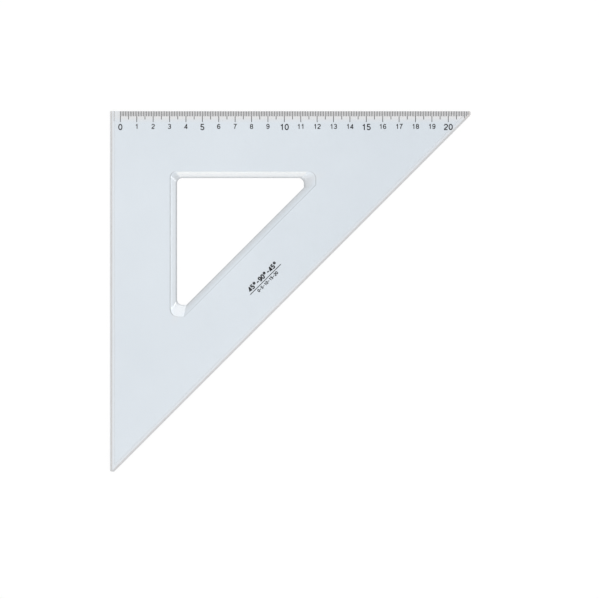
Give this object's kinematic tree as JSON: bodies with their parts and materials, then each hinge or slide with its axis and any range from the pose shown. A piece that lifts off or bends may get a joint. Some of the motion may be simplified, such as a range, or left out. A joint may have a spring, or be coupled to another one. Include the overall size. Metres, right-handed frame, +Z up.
{
  "type": "drafting triangle",
  "caption": "Clear right-angled isosceles drafting triangle with a bevelled centimetre scale along one leg, stepped ink edges and a bevelled finger window.",
  "frame": {"origin": "centre of the bounding box, on the underside that lies on the paper", "axes": "+Z up out of the paper, +Y towards the scale edge, -X towards the plain leg; the square corner is at -X +Y"},
  "size_m": [0.22, 0.22, 0.0025],
  "materials": {
    "clear_plastic": "clear, faintly blue, polished",
    "printed_ink": "matt dark grey print"
  },
  "bodies": {
    "root": {"clear_plate": "clear_plastic", "centimetre_marks": "printed_ink", "half_centimetre_marks": "printed_ink", "millimetre_marks": "printed_ink"}
  },
  "joints": []
}
